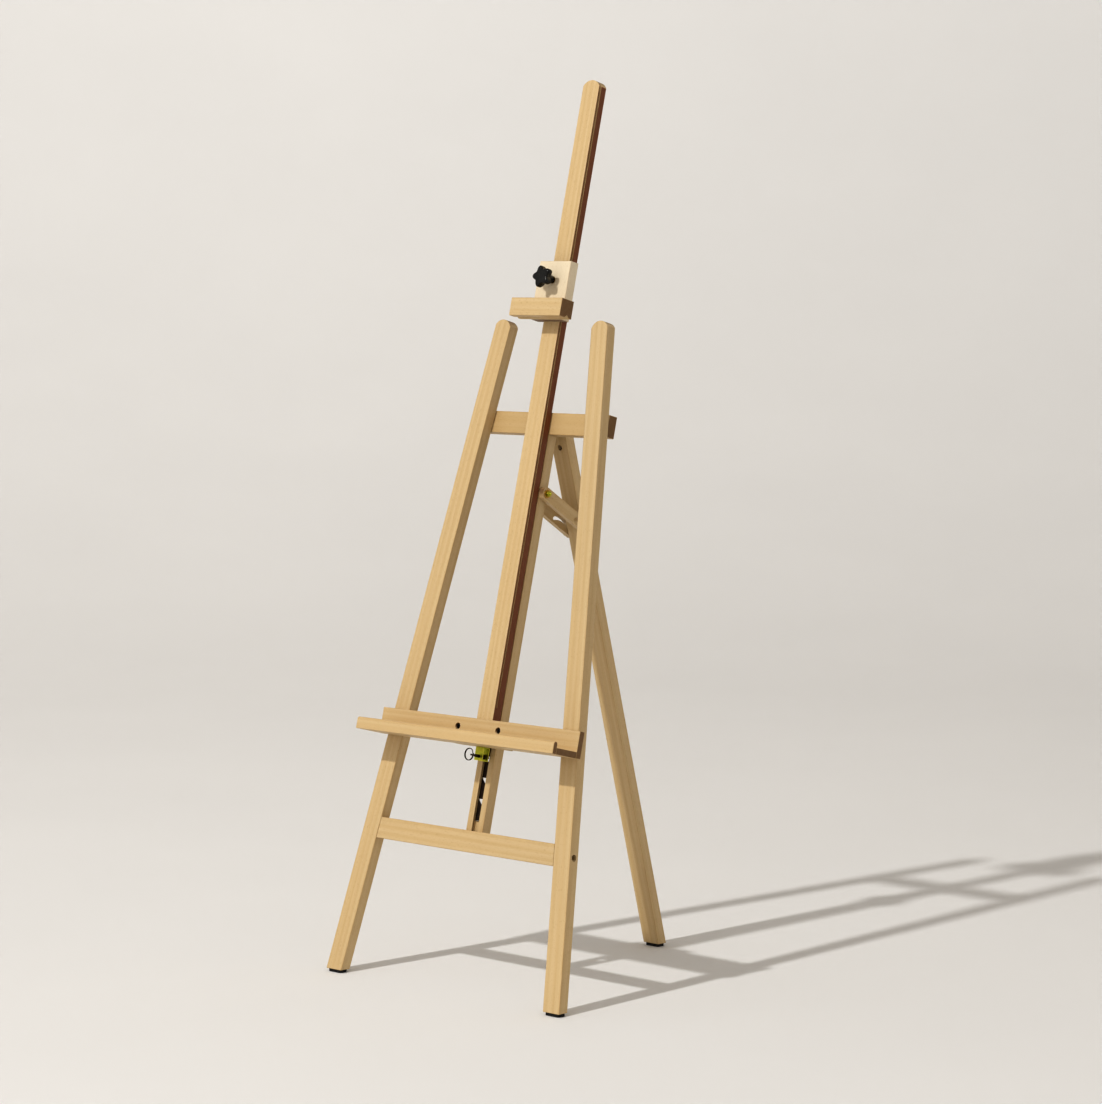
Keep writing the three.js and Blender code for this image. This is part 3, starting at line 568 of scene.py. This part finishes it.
EASED = 0.0012                      # rounding on the edges of the timber
RAIL_EASED = 0.0003                 # the rails are thin beside the rack, so theirs is smaller
RAIL_SHORTEST = 0.05
ARM_END = 0.012                     # the radius of a spreader arm's ends
SIDE_BAND = 0.0045                  # how far in from the mast's side the dark red-brown reaches
# how much of that dark red-brown the mast's sides take
DARK_SIDE_SHARE = 0.92


def timber():
    """The wooden pieces, each with a board of its own."""
    def member(node, grain, across, seed, tone=1.0, radius=EASED, white=0.0, golden=0.0, **more):
        wood = beech(node + "_beech", seed, tone, white, golden)
        eased(node, grain, across, wood, radius, **more)

    splay = math.atan2(*legs_lean())
    for number, (word, side) in enumerate((("left", -1), ("right", 1))):
        grain = (UP - RIGHT * side * math.tan(splay)).normalized()
        member(f"leg_{word}", grain, RIGHT, 21 + number)
        member(f"post_rail_{word}", UP, RIGHT, 31 + number, tone=0.96, radius=RAIL_EASED,
               shortest=RAIL_SHORTEST)
        member(f"spreader_arm_{word}", arm_direction(word), UP, 41 + number, tone=0.98, radius=0.001)
    member("lower_crossbar", RIGHT, UP, 51)
    member("upper_crossbar", RIGHT, UP, 52, tone=0.97, golden=0.6)
    member("post_bottom_block", UP, RIGHT, 53, radius=0.0006)
    member("post_top_block", UP, RIGHT, 54, radius=0.0006)
    member("rear_leg", -REAR_DOWN, RIGHT, 55)
    member("mast", UP, RIGHT, 56, tone=1.03, stained=mast_side)
    member("tray_carriage", RIGHT, UP, 57)
    member("tray_back", RIGHT, UP, 58, tone=1.02)
    member("tray_base", RIGHT, UP, 59, radius=0.0005)
    member("tray_lip", RIGHT, UP, 60, tone=1.02, radius=0.0011, shortest=0.0005)
    member("clamp_block", UP, RIGHT, 61, tone=1.07, white=0.75)
    member("clamp_bar", RIGHT, UP, 62, tone=1.04, turn=50)
    for word in ("left", "right"):
        assign(f"post_dowel_{word}", beech(f"post_dowel_{word}_beech", 63))


def legs_lean():
    """How far the right leg moves in, and how far it rises along the slope."""
    points = [v.co for v in frame["nodes"]["leg_right"].data.vertices]
    foot_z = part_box("leg_right")[0].z
    top_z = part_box("leg_right")[1].z
    low = [p for p in points if p.z < foot_z + 0.02]
    high = [p for p in points if p.z > top_z - 0.05]
    bottom = sum((p.x for p in low)) / len(low)
    top = sum((p.x for p in high)) / len(high)
    return bottom - top, (top_z - foot_z) / math.cos(LEAN)


def arm_direction(word):
    """Along a spreader arm, from its front pivot to its rear one."""
    low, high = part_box(f"spreader_arm_{word}")
    front = Vector(JOINTS["spreader_fold"]["pos_m"])
    rear_y = high.y - ARM_END
    rear_z = high.z - ARM_END if high.z - ARM_END > front.z + 0.001 else low.z + ARM_END
    return Vector((0, rear_y - front.y, rear_z - front.z)).normalized()


def mast_side(face, half):
    """The mast's side faces are given a dark red-brown colour."""
    outermost = abs(face.calc_center_median().x) > half.x - SIDE_BAND
    return DARK_SIDE_SHARE if outermost and abs(face.normal.x) > 0.9 else 0.0


def assign(node, material):
    """A look for a CAD node that is shown as it is."""
    mesh = frame["nodes"][node].data
    mesh.materials.clear()
    mesh.materials.append(material)


# ---------- fasteners, hinge and latch ----------

# head radius, head height and shank radius
LEG_BOLT = (0.005, 0.005, 0.003)
TRAY_BOLT = (0.005, 0.0039, 0.003)
CROSSBAR_SCREW = (0.0044, 0.0024, 0.0021)
POST_SCREW = (0.0042, 0.0024, 0.002)
HINGE_SCREW = (0.0032, 0.0014, 0.0018)
FRONT_PIVOT = (0.0056, 0.0036, 0.003)
REAR_PIVOT = (0.0054, 0.0034, 0.003)
NUT_HOLE = 0.0031


def fasteners():
    """Every metal, plastic and rubber piece except the spring, the ring and the knob."""
    for word, side in (("left", -1), ("right", 1)):
        out = RIGHT * side
        bolt(f"crossbar_bolt_{word}", out, *LEG_BOLT, DARK_STEEL)
        bolt(f"tray_bolt_{word}", -BACK, *TRAY_BOLT, DARK_STEEL)
        hexagon_nut(f"tray_nut_{word}", BACK, NUT_HOLE, ZINC)
        for level in ("low", "high"):
            bolt(f"crossbar_screw_{word}_{level}", BACK, *CROSSBAR_SCREW, ZINC, "cross", 0.7)
        bolt(f"post_screw_{word}", BACK, *POST_SCREW, ZINC, "cross", 0.7)
        bolt(f"hinge_screw_frame_{word}", BACK, *HINGE_SCREW, ZINC, "cross", 0.5)
        rear_face = Vector((0, math.cos(REAR_TILT), math.sin(REAR_TILT)))
        bolt(f"hinge_screw_leg_{word}", -rear_face, *HINGE_SCREW, ZINC, "cross", 0.5)
        assign(f"barrel_nut_{word}", STEEL)
    bolt("spreader_bolt_front", -RIGHT, *FRONT_PIVOT, ZINC)
    bolt("spreader_bolt_rear", -RIGHT, *REAR_PIVOT, ZINC)
    hexagon_nut("spreader_nut_front", RIGHT, NUT_HOLE, ZINC)
    hexagon_nut("spreader_nut_rear", RIGHT, NUT_HOLE, ZINC)
    eased("spreader_washer_front", RIGHT, UP, BRASS, 0.0003, shortest=0.0003, segments=2)
    eased("hinge_leaf_frame", RIGHT, UP, ZINC, 0.0004, shortest=0.003, segments=2)
    eased("hinge_leaf_leg", RIGHT, UP, ZINC, 0.0004, shortest=0.003, segments=2)
    eased("hinge_pin", RIGHT, UP, STEEL, 0.0003, shortest=0.0003, segments=2)
    eased("rack_strip", UP, RIGHT, BLACK_STEEL, 0.0003, shortest=0.002, segments=2)
    eased("latch_bracket", UP, RIGHT, ZINC, 0.0005, shortest=0.004, segments=2)
    eased("latch_plunger", BACK, RIGHT, STEEL, 0.0003, shortest=0.001, segments=2)
    for name in ("guide_key_lower", "guide_key_upper"):
        eased(name, UP, RIGHT, NYLON, 0.0006, shortest=0.002, segments=2)
    for name in ("clamp_screw", "clamp_insert", "clamp_pad"):
        look = {"clamp_screw": STEEL, "clamp_insert": BRASS, "clamp_pad": NYLON}[name]
        eased(name, BACK, RIGHT, look, 0.0004, shortest=0.0005, segments=2)
    for word in ("left", "right", "rear"):
        eased(f"foot_pad_{word}", Vector((0, 0, 1)), RIGHT, RUBBER, 0.0008, shortest=0.0005, segments=3)


def spring():
    """The latch coil, from the bracket's front sheet to the collar."""
    matrix, half, radius = cylinder_frame("latch_spring", BACK)
    wire = 0.0006
    turns = 6
    rest_length = 0.0090
    front = -half
    points = []
    steps = turns * 24
    reach = radius - wire
    for i in range(steps + 1):
        turn = 2 * math.pi * turns * i / steps
        z = front + wire + (rest_length - 2 * wire) * i / steps
        points.append(Vector((reach * math.cos(turn), reach * math.sin(turn), z)))
    bm = bmesh.new()
    swept(bm, points, wire, 8)
    piece = finished(bm, "latch_spring_look", matrix, STEEL)
    stands_for(piece, "latch_spring")
    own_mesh(piece)


def pull_ring():
    """A split ring: two turns of wire side by side, with one crossover just past the eye."""
    matrix, half = centred("latch_ring", axes(RIGHT, UP))
    wire = 0.0008
    reach = min(half.x, half.y) - wire
    full = math.radians(648)
    # the crossover, past the eye at 270 degrees and done before the wire's start
    leaves = math.radians(292)
    arrives = math.radians(352)
    steps = 120
    points = []
    for i in range(steps + 1):
        turn = full * i / steps
        over = min(1.0, max(0.0, (turn - leaves) / (arrives - leaves)))
        side = 1.02 * wire * (2 * over * over * (3 - 2 * over) - 1)
        points.append(Vector((reach * math.cos(turn), reach * math.sin(turn), side)))
    bm = bmesh.new()
    swept(bm, points, wire, 10)
    piece = finished(bm, "latch_ring_look", matrix, DARK_STEEL)
    stands_for(piece, "latch_ring")


def star_knob():
    """Five rounded lobes with a soft rim, a shallow dished face and a tapered hub."""
    matrix, half, radius = cylinder_frame("clamp_knob", -BACK)
    lobe = 0.0035
    mean = radius - lobe
    lobes = 5
    around = 120
    top = half
    thick = 0.014
    # distance down from the face, and share of the full outline there
    levels = [(0.0, 0.010), (-0.0008, 0.40), (-0.0001, 0.80), (-0.0004, 0.90), (-0.0014, 0.965),
              (-0.0030, 0.995), (-0.0070, 1.0), (-0.0110, 0.995), (-0.0126, 0.965), (-0.0137, 0.90),
              (-thick, 0.80)]
    bm = bmesh.new()
    rings = []
    for drop, share in levels:
        ring = []
        for i in range(around):
            angle = 2 * math.pi * i / around
            reach = mean + lobe * math.cos(lobes * (angle - math.pi)) * min(1.0, share * share * 1.02)
            ring.append(bm.verts.new((share * reach * math.cos(angle), share * reach * math.sin(angle),
                                      top + drop)))
        rings.append(ring)
    for low, high in zip(rings, rings[1:]):
        for i in range(around):
            j = (i + 1) % around
            bm.faces.new((low[i], low[j], high[j], high[i]))
    bm.faces.new(rings[0])
    hub = []
    for z, reach in ((top - thick, 0.0095), (top - thick - 0.001, 0.0086), (-half + 0.001, 0.0076),
                     (-half, 0.0068)):
        hub.append([bm.verts.new((reach * math.cos(2 * math.pi * i / around),
                                  reach * math.sin(2 * math.pi * i / around), z)) for i in range(around)])
    for low, high in zip([rings[-1], *hub], hub):
        for i in range(around):
            j = (i + 1) % around
            bm.faces.new((low[i], low[j], high[j], high[i]))
    bm.faces.new(hub[-1])
    piece = finished(bm, "clamp_knob_look", matrix, BLACK_PLASTIC, smooth=60)
    stands_for(piece, "clamp_knob")


camera()
lights()
studio_floor()
timber()
fasteners()
spring()
pull_ring()
star_knob()
